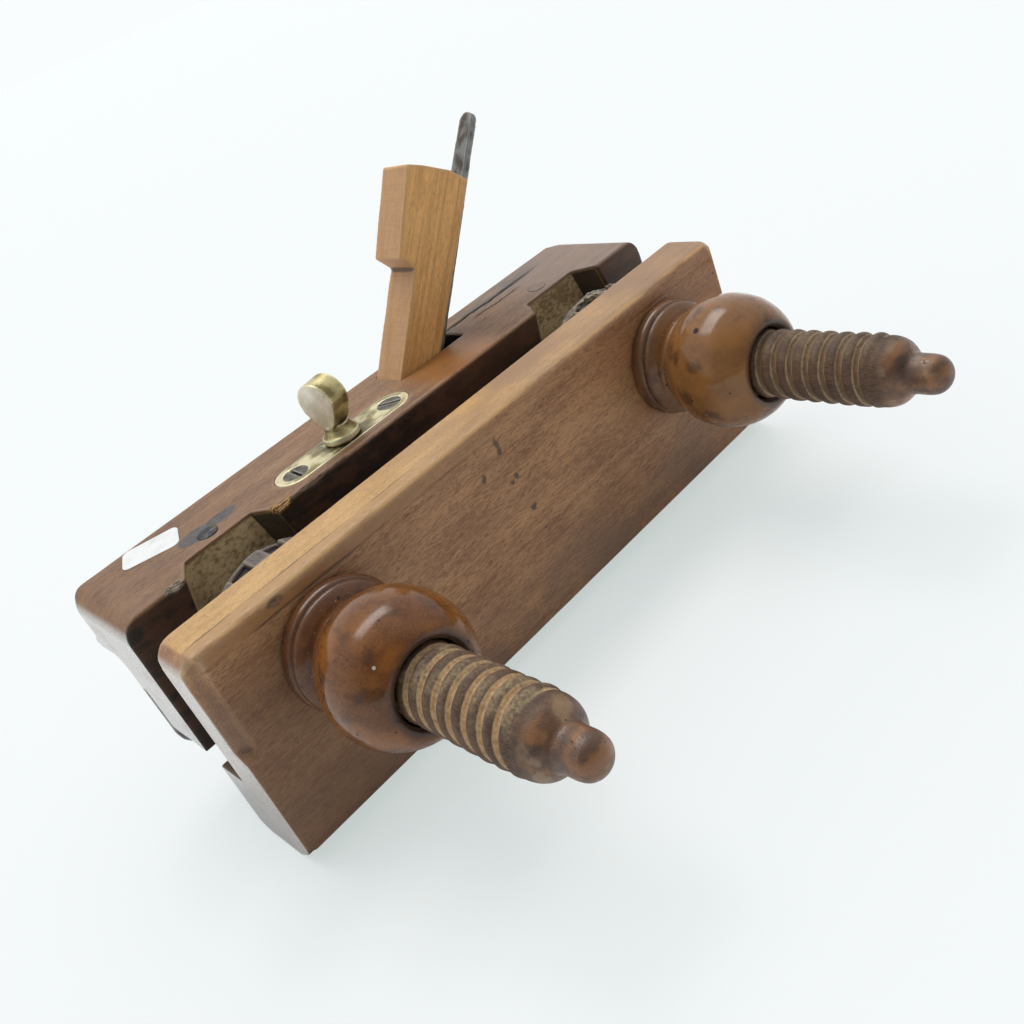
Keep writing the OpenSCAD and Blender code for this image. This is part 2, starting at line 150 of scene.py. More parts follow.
studio = bpy.data.worlds.new("studio")
studio.use_nodes = True
studio.node_tree.nodes.clear()
scene.world = studio
sky = Paint(studio.node_tree)
sky_x, sky_y, sky_z = sky.add("TexCoord", {}, {}, "Generated").parts()
tent = (0.75 * sky_z + 0.55 * sky_y).rise(-0.7, 0.75).mix((0.42, 0.43, 0.44), (0.96, 0.98, 0.99))
behind_camera = (0.49 * sky_z - 0.47 * sky_x - 0.73 * sky_y).rise(0.4, 0.92)
tent = (0.8 * behind_camera).mix(tent, (0.10, 0.105, 0.11))
soft_box = abs(sky_x - 0.10).rise(0.46, 0.28) * abs(sky_y - 0.34).rise(0.18, 0.08) * sky_z.rise(0.0, 0.2)
tent = soft_box.mix(tent, (7.0, 7.0, 6.9))
direct = sky.add("LightPath", {}, {}, "Is Camera Ray") + sky.add("LightPath", {}, {}, "Is Transmission Ray")
tent = direct.mix(tent, (0.955, 0.985, 0.99))
lit = sky.add("Background", {}, {"Color": tent, "Strength": 1.0})
sky.add("OutputWorld", {}, {"Surface": lit})

sheet = bmesh.new()
bmesh.ops.create_grid(sheet, x_segments=8, y_segments=8, size=30)
floor = bpy.data.objects.new("floor", bpy.data.meshes.new("floor"))
sheet.to_mesh(floor.data)
scene.collection.objects.link(floor)
paper, paint, at = new_material("paper")
seen = paint.add("LightPath", {}, {}, "Is Camera Ray")
colour = seen.mix((0.93, 0.965, 0.975), (0.36, 0.335, 0.35))
glow = seen.mix((0, 0, 0), (0.527, 0.586, 0.574))
lay(paint, colour, 0.8, None, {"Specular IOR Level": 0.1, "Emission Color": glow, "Emission Strength": 1.0})
floor.data.materials.append(paper)


# The body: one block of beech, planed and moulded, that holds the stems, the iron and the skates.
# A century of use has rubbed its arrises round, split it behind the mortise and broken its pocket lips.
def points_of(mesh):
    """Where the points of a mesh are, in mm."""
    place = np.empty(len(mesh.vertices) * 3, np.float32)
    mesh.vertices.foreach_get("co", place)
    return place.reshape(-1, 3).astype(float) / MM


def move_points(mesh, place):
    """Puts the points of a mesh at new places in mm."""
    mesh.vertices.foreach_set("co", (place * MM).astype(np.float32).ravel())
    mesh.update()


def mark_points(mesh, label, values):
    """Gives each point of a mesh a value that its paint can read."""
    marks = mesh.attributes.new(label, "FLOAT", "POINT")
    marks.data.foreach_set("value", values.astype(np.float32).ravel())


def chipped(node, name, voxel, chips):
    """A copy of a CAD solid in an even mesh as fine as voxel in mm, with its chips knocked out.
    Each chip is a ragged lump, given by its centre and its half sizes in mm."""
    solid = bmesh.new()
    solid.from_mesh(nodes[node].data)
    bmesh.ops.remove_doubles(solid, verts=solid.verts, dist=1e-6)
    piece = bpy.data.objects.new(name, bpy.data.meshes.new(name))
    solid.to_mesh(piece.data)
    scene.collection.objects.link(piece)
    tools = []
    for number, (centre, size) in enumerate(chips):
        lump = bmesh.new()
        bmesh.ops.create_icosphere(lump, subdivisions=3, radius=1.0)
        for vert in lump.verts:
            ragged = 1 + 0.45 * noise.noise(vert.co * 1.9 + Vector((7 * number, 0, 0)))
            vert.co = Vector([(c + s * v * ragged) * MM for c, s, v in zip(centre, size, vert.co)])
        tool = bpy.data.objects.new("chip", bpy.data.meshes.new("chip"))
        lump.to_mesh(tool.data)
        scene.collection.objects.link(tool)
        cut = piece.modifiers.new("chip", "BOOLEAN")
        cut.operation = "DIFFERENCE"
        cut.solver = "EXACT"
        cut.object = tool
        tools.append(tool)
    skin = piece.modifiers.new("skin", "REMESH")
    skin.mode = "VOXEL"
    skin.voxel_size = voxel * MM
    skin.use_smooth_shade = True
    mesh = bpy.data.meshes.new_from_object(piece.evaluated_get(bpy.context.evaluated_depsgraph_get()))
    piece.modifiers.clear()
    piece.data = mesh
    mesh.name = name
    for tool in tools:
        bpy.data.objects.remove(tool)
    return piece


def worn(node, name, voxel, rubbed, chips=()):
    """A chipped copy of a CAD solid with its arrises rubbed round unevenly. Its paint can read two marks:
    arris says how far a place stands proud of its surroundings in mm, and bare where a chip broke off."""
    piece = chipped(node, name, voxel, chips)
    mesh = piece.data
    count = len(mesh.vertices)
    edge_ends = np.empty(len(mesh.edges) * 2, np.int32)
    mesh.edges.foreach_get("vertices", edge_ends)
    one, other = edge_ends.reshape(-1, 2).T
    near = np.bincount(edge_ends, minlength=count)[:, None]

    def relax(points, times):
        for _ in range(times):
            around = [np.bincount(one, points[other, i], count) + np.bincount(other, points[one, i], count)
                      for i in range(3)]
            points = points + 0.6 * (np.stack(around, axis=1) / near - points)
        return points

    patch_size = 9.0
    lightly = relax(points_of(mesh), rubbed)
    heavily = relax(lightly, 3 + 3 * rubbed)
    patch = np.array([noise.noise(p) for p in lightly / patch_size])[:, None]
    shaped = lightly + (heavily - lightly) * np.clip(0.05 + 0.9 * patch, 0, 1)
    move_points(mesh, shaped)
    facing = np.empty(count * 3, np.float32)
    mesh.vertices.foreach_get("normal", facing)
    proud = ((shaped - relax(shaped, 24)) * facing.reshape(-1, 3)).sum(axis=1)
    broken = np.zeros(count)
    for centre, size in chips:
        reach = np.linalg.norm((shaped - np.array(centre)) / np.array(size), axis=1)
        broken = np.maximum(broken, np.clip((1.3 - reach) / 0.2, 0, 1))
    mark_points(mesh, "arris", proud)
    mark_points(mesh, "bare", broken)
    return piece


def ease_corner(piece, corner, outward, eased_r):
    """Rubs one corner of a piece round to a radius in mm. outward has the sign of each side there."""
    outward = np.array(outward)
    place = points_of(piece.data)
    centre = np.array(corner) / MM - eased_r * outward
    past = np.clip((place - centre) * outward / eased_r, 0, None)
    over = np.maximum(np.linalg.norm(past, axis=1), 1)
    ease = np.clip(2 * past, 0, 1).prod(axis=1) * (1 / over - 1)
    move_points(piece.data, place + outward * eased_r * past * ease[:, None])


def streaks(paint, at, length, width, detail, seed):
    """Noise drawn out along X, as long and as wide as given in mm."""
    thin = (1 / length, 1 / width, 1 / width)
    drawn = paint.add("VectorMath", {"operation": "MULTIPLY"}, {0: at, 1: thin})
    moved = paint.add("VectorMath", {"operation": "ADD"}, {0: drawn, 1: (seed, 1.7 * seed, 2.3 * seed)})
    return paint.add("TexNoise", {}, {"Vector": moved, "Scale": 1.0, "Detail": detail})


def wood(paint, at, dark, pale, seed, pored=0.7):
    """Colour and relief in mm of wood with its grain along X: mottling, bands, fibres and pores."""
    mottle = streaks(paint, at, 22, 7, 3, seed)
    bands = streaks(paint, at, 120, 2.2, 2, seed + 4)
    fibre = streaks(paint, at, 2.2, 0.3, 4, seed + 9)
    pores = streaks(paint, at, 1.1, 0.3, 1, seed + 13).rise(0.55, 0.75)
    colour = (0.3 * mottle + 0.2 * bands + 0.5 * fibre).rise(0.36, 0.64).mix(dark, pale)
    darker = {"data_type": "RGBA", "blend_type": "MULTIPLY"}
    colour = paint.add("Mix", darker, {0: pored * pores, 6: colour, 7: (0.48, 0.42, 0.38)}, 2)
    return colour, 0.05 * fibre - 0.07 * pores


def end_grain(paint):
    """Where a surface faces the toe or the heel."""
    return abs(paint.facing()).rise(0.75, 0.97)


body_top, body_inner, pocket_back, stem_x, mortise_y = 72.0, 17.5, 26.0, 69.0, 43.9
body_chips = [
    ((-87.6, 17.2, 72.2), (2.8, 2.2, 1.6)),
    ((-56.0, 17.4, 71.8), (3.6, 2.8, 2.0)),
    ((-51.5, 16.8, 72.3), (3.8, 2.2, 1.7)),
    ((-41, 16.8, 72.5), (8.0, 1.7, 1.5)),
    ((-31, 16.8, 72.6), (5.0, 1.4, 1.2)),
    ((57.0, 17.6, 72.2), (3.2, 3.0, 1.7)),
    ((60.0, 22.6, 72.4), (2.8, 2.2, 1.4)),
    ((79, 21.5, 72.4), (1.8, 1.6, 1.2)),
    ((-103, 57.5, 72), (3.0, 2.6, 2.2)),
]
body = worn("body", "worn_body", 0.42, 1, body_chips)
ease_corner(body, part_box("body")[1], (1, 1, 1), 7.0)
place = points_of(body.data)
wander = np.array([0.8 * noise.noise((x / 11, 3, 0)) + 0.3 * noise.noise((x / 2.5, 7, 0))
                   for x in place[:, 0]])
split = np.zeros(len(place))
long_crack = (37, 47.2, 86, 46.4, 0.9, 2.2)
short_crack = (47, 42.0, 72, 41.0, 0.55, 0.8)
for start_x, start_y, end_x, end_y, wide, deep in (long_crack, short_crack):
    along = (place[:, 0] - start_x) / (end_x - start_x)
    line = start_y + (end_y - start_y) * along + wander
    opened = np.clip(8 * along, 0, 1) * np.clip(2.5 * (1 - along), 0, 1)
    opened *= np.clip(1 - np.abs(place[:, 1] - line) / wide, 0, 1)
    opened *= np.clip((place[:, 2] - body_top + 2.0) / 1.5, 0, 1)
    place[:, 2] -= deep * opened
    split = np.maximum(split, opened)
mark_points(body.data, "split", split)
move_points(body.data, place)
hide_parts("body")
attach(body, "stock")

# The body's colour: brown beech, ruddy by the wedge, nearly black on the inner face, partly dark wood and
# partly painted shade, and khaki in the pockets, with painted shade on the pockets' heel-side walls, in the
# mortise and low down.
beech, paint, at = new_material("old_beech")
x, y, z = at.parts()
arris = paint.mark("arris")
bare = paint.mark("bare")
split_mark = paint.mark("split")
colour, relief = wood(paint, at, (0.148, 0.062, 0.022), (0.325, 0.168, 0.070), 2.0)
cloud = streaks(paint, at, 16, 9, 3, 31)
top = z.rise(body_top - 1.2, body_top - 0.4)
near_wedge = top * x.rise(2, 16) * x.rise(42, 30) * y.rise(39, 34)
colour = (0.85 * near_wedge * cloud.rise(0.25, 0.5)).mix(colour, (0.36, 0.145, 0.036))
# The inner face, which faces the fence, is nearly black: dark wood and painted shade between the body and
# the fence, ruddier toward the heel near the top.
smoke = streaks(paint, at, 7, 3, 4, 28)
dark_wood_and_shade = smoke.rise(0.4, 0.62).mix((0.018, 0.012, 0.009), (0.075, 0.032, 0.018))
ruddy = smoke.mix((0.05, 0.022, 0.012), (0.21, 0.085, 0.035))
dark_wood_and_shade = (0.8 * x.rise(-20, 25) * z.rise(58, 70)).mix(dark_wood_and_shade, ruddy)
inner = y.rise(body_inner + 1.2, body_inner + 0.6) * z.rise(body_top - 0.5, body_top - 1.4)
colour = (0.95 * inner).mix(colour, dark_wood_and_shade)
pocket = y.rise(body_inner + 0.5, body_inner + 1.3) * y.rise(pocket_back + 1.0, pocket_back + 0.4)
pocket = pocket * z.rise(body_top - 0.6, body_top - 1.6) * abs(abs(x) - stem_x).rise(23, 21)
specks = streaks(paint, at, 1.5, 1.0, 3, 29)
khaki_wall = (0.5 * cloud + 0.5 * specks).rise(0.36, 0.60).mix((0.30, 0.20, 0.095), (0.80, 0.62, 0.34))
khaki_wall = (0.3 * specks.rise(0.57, 0.75)).mix(khaki_wall, (0.12, 0.08, 0.045))
# Painted shadow: in the pockets, the walls that face the toe are painted nearly black.
shaded_heel_wall = pocket * paint.facing().rise(-0.25, -0.6)
colour = (0.9 * pocket).mix(colour, khaki_wall)
colour = (0.93 * shaded_heel_wall).mix(colour, (0.022, 0.016, 0.011))
# Painted shade: the walls of the mortise below the top are painted nearly black.
mortise = abs(y - mortise_y).rise(7.5, 7.1) * abs(x - 25).rise(40, 36)
mortise = mortise * z.rise(body_top - 0.4, body_top - 0.9) * z.rise(55, 57)
colour = (0.92 * mortise).mix(colour, (0.015, 0.011, 0.009))
# Painted shade: the body is painted darker toward the bottom, from 46 mm down to 30 mm and below.
under = z.rise(46, 30)
colour = (0.5 * under).mix(colour, (0.06, 0.034, 0.024))

# Then what age has left on it, and painted light: grime and painted shade in the creases, rubbed arrises,
# blue-black stains, a painted pale reflection on the top toward the heel and on the toe's end grain, cracks
# and breaks.
# Grime and painted shade in the creases and hollows outside the pockets, where the surface sinks below its
# surroundings.
grime_and_shade = (1 - pocket) * arris.rise(-0.02, -0.16)
colour = (0.8 * grime_and_shade).mix(colour, (0.03, 0.02, 0.016))
colour = (0.35 * top * arris.rise(0.05, 0.2) * cloud.rise(0.35, 0.6)).mix(colour, (0.40, 0.26, 0.17))
ragged = 1.7 * (streaks(paint, at, 6, 2.2, 5, 36) - 0.5)
blue_black = specks.rise(0.3, 0.7).mix((0.024, 0.027, 0.034), (0.085, 0.085, 0.09))
for stain_x, stain_y, half_long, half_wide in ((-71.0, 35.0, 6.0, 4.6), (-63.4, 35.6, 6.4, 3.0)):
    off_x, off_y = (x - stain_x) * (1 / half_long), (y - stain_y) * (1 / half_wide)
    stain = top * (off_x * off_x + off_y * off_y + ragged).rise(1.05, 0.75)
    colour = (0.9 * stain).mix(colour, blue_black)
# Painted reflection: a pale grey sheen on the top toward the heel, standing in for the white surroundings
# mirrored there.
sheen_and_tarnish = top * x.rise(48, 80)
colour = (0.6 * sheen_and_tarnish).mix(colour, smoke.mix((0.20, 0.14, 0.11), (0.36, 0.29, 0.25)))
colour = (0.2 * top * x.rise(-40, -85)).mix(colour, (0.07, 0.032, 0.018))
beside_split = top * x.rise(34, 40) * x.rise(98, 70) * abs(y - 48.5).rise(7, 2.0)
colour = (0.7 * beside_split * smoke.rise(0.35, 0.6)).mix(colour, (0.085, 0.085, 0.09))
colour = split_mark.rise(0.05, 0.4).mix(colour, (0.010, 0.008, 0.007))
splinters = streaks(paint, at, 2.4, 0.4, 3, 50)
orange_break = abs(x + 54).rise(7, 4)
fresh = x.rise(-78, -84).mix((0.17, 0.11, 0.07), (0.38, 0.31, 0.23))
fresh = orange_break.mix(fresh, (0.68, 0.36, 0.10))
colour = (0.9 * bare).mix(colour, splinters.rise(0.38, 0.62).mix((0.055, 0.038, 0.025), fresh))
gloss = 0.40 + 0.25 * cloud + 0.25 * pocket + 0.3 * bare - 0.16 * near_wedge - 0.36 * end_grain(paint)
end_grain_sheen = end_grain(paint) * cloud.rise(0.15, 0.5)
# Painted reflection: the toe's end grain is whitened by a pale grey sheen, on top of a real glossy coat.
colour = (0.22 * end_grain_sheen * x.rise(-100, -104)).mix(colour, (0.62, 0.68, 0.69))
lay(paint, colour, gloss, relief + 0.4 * bare * splinters + 0.12 * pocket * specks,
    {"Coat Weight": 0.6 * end_grain_sheen, "Coat Roughness": 0.15})
body.data.materials.append(beech)

# The paper label: a small slip with rounded corners, pasted on the body's top at the toe and left blank.
# One corner has come unstuck.
label_long, label_wide, label_corner, label_thick = 17.0, 11.5, 2.4, 0.12
outline = []
for turn, (side_x, side_y) in enumerate(((1, 1), (-1, 1), (-1, -1), (1, -1))):
    for step in range(8):
        angle = math.radians(90 * turn + step * 90 / 7)
        outline.append((side_x * (label_long / 2 - label_corner) + label_corner * math.cos(angle),
                        side_y * (label_wide / 2 - label_corner) + label_corner * math.sin(angle)))
label_x, label_y, lean = -80.8, 46.2, math.radians(-25)
ring_count = 12
slip = bmesh.new()
rings = []
for ring in range(1, ring_count + 1):
    row = []
    for u, v in outline:
        u, v = u * ring / ring_count, v * ring / ring_count
        lift = 0.9 * max(0.0, (u + v) / (label_long / 2 + label_wide / 2) - 0.55)
        place_x = label_x + u * math.cos(lean) - v * math.sin(lean)
        place_y = label_y + u * math.sin(lean) + v * math.cos(lean)
        row.append(slip.verts.new((place_x * MM, place_y * MM, (body_top + lift) * MM)))
    rings.append(row)
slip.faces.new(rings[0])
for inner_row, outer_row in zip(rings, rings[1:]):
    for a in range(len(outline)):
        b = (a + 1) % len(outline)
        slip.faces.new((inner_row[a], outer_row[a], outer_row[b], inner_row[b]))
bmesh.ops.recalc_face_normals(slip, faces=slip.faces)
thick = bmesh.ops.extrude_face_region(slip, geom=slip.faces[:])
for vert in (v for v in thick["geom"] if isinstance(v, bmesh.types.BMVert)):
    vert.co.z += label_thick * MM
bmesh.ops.recalc_face_normals(slip, faces=slip.faces)
label = bpy.data.objects.new("blank_label", bpy.data.meshes.new("blank_label"))
slip.to_mesh(label.data)
scene.collection.objects.link(label)
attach(label, "stock")
slip_paper, paint, at = new_material("label_paper")
mottle = streaks(paint, at, 4, 3, 4, 8)
speck = streaks(paint, at, 0.5, 0.4, 2, 18)
aged = mottle.rise(0.4, 0.8).mix((0.86, 0.87, 0.87), (0.76, 0.76, 0.74))
lay(paint, (0.25 * speck.rise(0.6, 0.75)).mix(aged, (0.4, 0.36, 0.3)), 0.85, 0.04 * mottle + 0.02 * speck)
label.data.materials.append(slip_paper)


# The stems: two beech rods with a coarse thread cut by a screw box and a small turned button at the end.
# Each is driven into the body and nailed there, and the fence and its nuts travel along it.
def lathe(name, radius, along, centre, loop):
    """A round piece about a line along Y: radius has a row for each place and a column for each angle.
    With loop, its last row joins its first, and it is a ring. Without, both ends are closed."""
    rows, sides = radius.shape
    angle = np.arange(sides) * 2 * math.pi / sides
    shape = bmesh.new()
    rings = []
    for row in range(rows):
        ring = []
        for i in range(sides):
            across = centre[0] + radius[row, i] * math.cos(angle[i])
            up = centre[1] + radius[row, i] * math.sin(angle[i])
            ring.append(shape.verts.new((across * MM, along[row] * MM, up * MM)))
        rings.append(ring)
    following = rings[1:] + rings[:1] if loop else rings[1:]
    for ring, after in zip(rings, following):
        for i in range(sides):
            j = (i + 1) % sides
            shape.faces.new((ring[i], ring[j], after[j], after[i]))
    if not loop:
        shape.faces.new(rings[0])
        shape.faces.new(rings[-1])
    bmesh.ops.recalc_face_normals(shape, faces=shape.faces)
    for face in shape.faces:
        face.smooth = True
    piece = bpy.data.objects.new(name, bpy.data.meshes.new(name))
    shape.to_mesh(piece.data)
    scene.collection.objects.link(piece)
    return piece


def flowing(points, steps):
    """A smooth line through points of radius and length, as a turner's eye would run it."""
    line = []
    whole = np.array([points[0], *points, points[-1]])
    for p, q, r, s in zip(whole, whole[1:], whole[2:], whole[3:]):
        for t in np.arange(steps) / steps:
            curve = (2 * p - 5 * q + 4 * r - s) * t * t + (3 * q - p - 3 * r + s) * t ** 3
            line.append(0.5 * (2 * q + (r - p) * t + curve))
    return np.array([*line, points[-1]])


def along_y(paint, at):
    """The place, turned so that the grain of a turned piece runs along Y."""
    return paint.add("Mapping", {}, {"Vector": at, "Rotation": (0, 0, -math.pi / 2)})


stem_z, pitch, crest_r, root_r, shank_r, stem_end = 48.5, 5.0, 9.95, 8.3, 9.0, 36.5
crest_share, crest_drop, neck_y, neck_r = 0.62, 0.32, -91.5, 9.3
button_points = [
    (0.06, -108.5), (1.8, -108.25), (3.5, -107.3), (4.75, -105.7), (5.2, -103.6),
    (5.25, -101.6), (5.3, -99.8), (5.7, -98.5), (6.8, -97.4), (8.1, -96.0),
    (8.9, -94.4), (9.3, -92.6), (9.35, neck_y),
]
button = flowing(button_points, 6)
thread_y = np.arange(neck_y + 0.3, pocket_back, 0.4)
shank = np.array([(shank_r, pocket_back + 0.4), (shank_r, stem_end - 0.4),
                  (shank_r - 0.4, stem_end), (0.06, stem_end)])
stem_along = np.concatenate([button[:, 1], thread_y, shank[:, 1]])
plain_r = np.concatenate([button[:, 0], np.full(len(thread_y), root_r), shank[:, 0]])
stem_sides = 96
stem_turns = np.arange(stem_sides) / stem_sides

# The stems' colour: dark on the crests, painted highlights as pale lines in the grooves, dust on top, and a
# polished button.
khaki, paint, at = new_material("stem_beech")
swung = along_y(paint, at)
colour, relief = wood(paint, swung, (0.042, 0.020, 0.010), (0.145, 0.074, 0.034), 5.0)
x, y, z = at.parts()
groove = paint.mark("groove")
dirt = streaks(paint, at, 9, 5, 4, 12)
grit = streaks(paint, at, 0.9, 0.9, 3, 58)
at_toe = x.rise(40, -40)
# Painted highlights: pale tan lines along the thread in the grooves, where the flanks would catch the
# light; the broad ones strongest on the toe stem, the thin ones broken up.
flank_highlight = groove.rise(0.28, 0.40)
highlight_tan = grit.rise(0.25, 0.75).mix((0.39, 0.225, 0.105), (0.64, 0.415, 0.215))
colour = ((0.15 + 0.75 * at_toe) * flank_highlight).mix(colour, highlight_tan)
dust = (z - stem_z).rise(3, 10) * dirt.rise(0.42, 0.6) * y.rise(neck_y - 1.5, neck_y + 1.5)
dusty = grit.rise(0.3, 0.7).mix((0.15, 0.098, 0.047), (0.43, 0.325, 0.18))
colour = ((0.25 + 0.35 * at_toe) * dust).mix(colour, dusty)
thin_highlight = groove.rise(0.24, 0.34) * groove.rise(0.60, 0.46) * (0.35 + 0.65 * dirt.rise(0.35, 0.6))
colour = ((0.55 - 0.15 * at_toe) * thin_highlight * grit.rise(0.2, 0.5)).mix(colour, (0.48, 0.35, 0.20))
on_button = y.rise(neck_y - 0.5, neck_y - 4.5)
button_colour = dirt.rise(0.38, 0.6).mix((0.26, 0.115, 0.045), (0.10, 0.048, 0.026))
blackened = streaks(paint, at, 9, 8, 3, 47).rise(0.50, 0.60)
button_colour = (0.5 * blackened).mix(button_colour, (0.035, 0.022, 0.017))
rubbed_pale = streaks(paint, at, 8, 6, 3, 44).rise(0.54, 0.66)
button_colour = (0.6 * rubbed_pale).mix(button_colour, (0.33, 0.225, 0.13))
colour = (0.95 * on_button).mix(colour, button_colour)
knocks = streaks(paint, at, 1.6, 1.4, 1, 40).rise(0.72, 0.77)
colour = (0.7 * knocks * y.rise(neck_y + 1.5, neck_y - 4.5)).mix(colour, (0.03, 0.02, 0.015))
gloss = 0.52 + 0.25 * dirt - 0.3 * on_button
lay(paint, colour, gloss, relief + 0.15 * grit - 0.15 * grit * on_button - 0.2 * knocks)

# The thread: a round crest and a straight flank, wound round the stem once a pitch and rubbed unevenly.
for stem_side, stem_name in ((-1, "toe_stem"), (1, "heel_stem")):
    radius = np.repeat(plain_r[:, None], stem_sides, axis=1)
    sunk = np.zeros_like(radius)
    for row, along in enumerate(thread_y, len(button)):
        off_crest = np.abs(2 * ((along / pitch + stem_turns) % 1) - 1)
        crest = 1 - crest_drop * (off_crest / crest_share) ** 2
        flank = (1 - crest_drop) * (1 - off_crest) / (1 - crest_share)
        ridge = np.where(off_crest < crest_share, crest, flank)
        rubbed = [noise.noise((3 * math.cos(turn), along / 3.0, 3 * math.sin(turn) + 20 * stem_side))
                  for turn in math.tau * stem_turns]
        height = crest_r - root_r - 0.15 - 0.25 * np.array(rubbed)
        fade = np.clip((along - neck_y) / 2.0, 0, 1)
        radius[row] = np.minimum(root_r + ridge * height * fade + (neck_r - root_r) * (1 - fade), crest_r)
        sunk[row] = (1 - ridge) * fade
    stem = lathe("threaded_" + stem_name, radius, stem_along, (stem_side * stem_x, stem_z), False)
    mark_points(stem.data, "groove", sunk)
    stem.data.materials.append(khaki)
    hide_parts(stem_name)
    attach(stem, "stock")

# The stem nails: one cut nail through the body's top into each stem, its head hammered flush.
# The toe's has gone black and stained the wood round it, and the heel's is plugged over with wood.
black_iron, paint, at = new_material("black_iron")
blotch = streaks(paint, at, 2, 1.5, 3, 3)
colour = blotch.rise(0.45, 0.7).mix((0.035, 0.036, 0.041), (0.15, 0.145, 0.14))
at_heel = at.parts()[0].rise(-5, 5)
colour = (0.95 * at_heel).mix(colour, blotch.mix((0.19, 0.125, 0.09), (0.34, 0.25, 0.195)))
lay(paint, colour, 0.55 + 0.3 * blotch, 0.12 * blotch, {"Metallic": 0.5 - 0.5 * at_heel})
nails = worn("stem_nails", "worn_stem_nails", 0.22, 3)
nails.data.materials.append(black_iron)
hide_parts("stem_nails")
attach(nails, "stock")

# The fence: a beech block with a rebated foot that runs along the edge of the work.
# Its top outer edge has a run bead between two quirks, and the ends have stopped chamfers.
fence_top, fence_face, quirk_y, quirk_z, bead_crown = 71.5, -17.0, -11.9, 66.4, 54.8
fence_chips = [
    ((-78.3, -17.4, 69.4), (2.2, 1.0, 1.2)),
    ((-56, -17.4, 72.0), (2.4, 1.2, 1.2)),
    ((-20, -17.6, 71.6), (4.0, 1.0, 1.0)),
    ((22, -17.4, 71.9), (2.6, 1.0, 1.0)),
    ((-104.5, -17, 3), (2.5, 2.2, 3.0)),
    ((104.5, -2, 71.5), (2.2, 3.0, 1.8)),
    ((60, 13, 25.5), (5.0, 1.5, 1.4)),
]
fence = worn("fence", "worn_fence", 0.42, 1, fence_chips)
fence_low, fence_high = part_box("fence")
ease_corner(fence, (fence_high.x, fence_low.y, fence_high.z), (1, -1, 1), 6.0)
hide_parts("fence")
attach(fence, "fence_block")

# The fence's colour: brown beech, greyer low down and redder at the heel, with a golden top and bead.
golden, paint, at = new_material("fence_beech")
x, y, z = at.parts()
arris = paint.mark("arris")
bare = paint.mark("bare")
cloud = streaks(paint, at, 26, 13, 3, 71)
colour, relief = wood(paint, at, (0.245, 0.105, 0.042), (0.49, 0.26, 0.115), 20.0)
colour = (0.75 * z.rise(38, 6) * cloud.rise(0.2, 0.6)).mix(colour, (0.19, 0.118, 0.082))
toeward = x.rise(-50, -95)
colour = (0.5 * toeward * z.rise(70, 50)).mix(colour, (0.15, 0.077, 0.042))
near_heel = x.rise(20, 60) * z.rise(20, 40)
colour = (0.45 * near_heel * cloud.rise(0.35, 0.65)).mix(colour, (0.33, 0.125, 0.045))
top_colour = wood(paint, at, (0.46, 0.262, 0.093), (0.67, 0.40, 0.158), 23.0)[0]
pinker = x.rise(-50, 20) * cloud.rise(0.25, 0.6)
top_colour = (0.8 * pinker).mix(top_colour, (0.32, 0.185, 0.105))
redder = x.rise(20, 90)
top_colour = (0.6 * redder).mix(top_colour, (0.32, 0.18, 0.10))
on_top = z.rise(fence_top - 0.9, fence_top - 0.4)
colour = on_top.mix(colour, top_colour)
on_bead = y.rise(quirk_y + 0.3, quirk_y - 0.5) * z.rise(quirk_z, quirk_z + 1.0)
bead_face = on_bead * z.rise(fence_top - 0.3, fence_top - 1.3) * x.rise(60, -60)
colour = (0.5 * bead_face).mix(colour, (0.36, 0.17, 0.064))
colour = (0.5 * on_bead * x.rise(20, -50)).mix(colour, (0.36, 0.185, 0.07))
# Wear and painted highlight: a bright orange-gold line along the bead's crown, for pale wood rubbed bare
# and for the light it catches.
crown_wear_and_highlight = on_bead * abs(y + z - bead_crown).rise(1.4, 0.4)
crown_wear_and_highlight = crown_wear_and_highlight * streaks(paint, at, 12, 3, 4, 76).rise(0.3, 0.55)
colour = (0.85 * crown_wear_and_highlight).mix(colour, (0.62, 0.35, 0.135))

# Then its dirt and wear: dark lines along the quirks, grime and painted shade in the creases, rubbed edges,
# dark marks on the face, splintered chips, and painted shade on the inner face.
broken_line = streaks(paint, at, 14, 2, 4, 78).rise(0.36, 0.6)
top_quirk = z.rise(fence_top - 1.1, fence_top - 0.6) * abs(y - quirk_y).rise(0.5, 0.15)
face_quirk = y.rise(fence_face + 1.4, fence_face + 0.8) * abs(z - quirk_z).rise(0.7, 0.2)
quirks = (top_quirk + face_quirk) * broken_line
colour = (0.6 * x.rise(50, -60) * quirks).mix(colour, (0.06, 0.03, 0.016))
# Grime and painted shade in the creases, fading toward the heel.
colour = (0.45 * x.rise(90, -60) * arris.rise(-0.03, -0.16)).mix(colour, (0.05, 0.03, 0.02))
rubbed_edge = z.rise(60, 68) * arris.rise(0.06, 0.24) * cloud.rise(0.3, 0.55)
colour = (0.5 * rubbed_edge).mix(colour, (0.50, 0.33, 0.19))
on_chamfer = abs(x).rise(101.2, 102.2) * y.rise(-13.2, -14.4) * z.rise(38, 42)
colour = (0.35 * on_chamfer * cloud.rise(0.2, 0.5)).mix(colour, (0.09, 0.043, 0.024))
blots = streaks(paint, at, 1.6, 1.6, 4, 92)
dark_marks = [
    (-3.0, 62.8, 0.9, 2.6), (-11.2, 57.8, 0.8, 1.2), (-0.9, 51.9, 0.8, 0.8), (-3.0, 50.9, 0.9, 0.7),
    (0.3, 40.1, 1.2, 1.0), (1.3, 31.8, 0.4, 0.4), (98.7, 61.3, 0.5, 0.5),
]
on_face = y.rise(fence_face + 1.0, fence_face + 0.4)
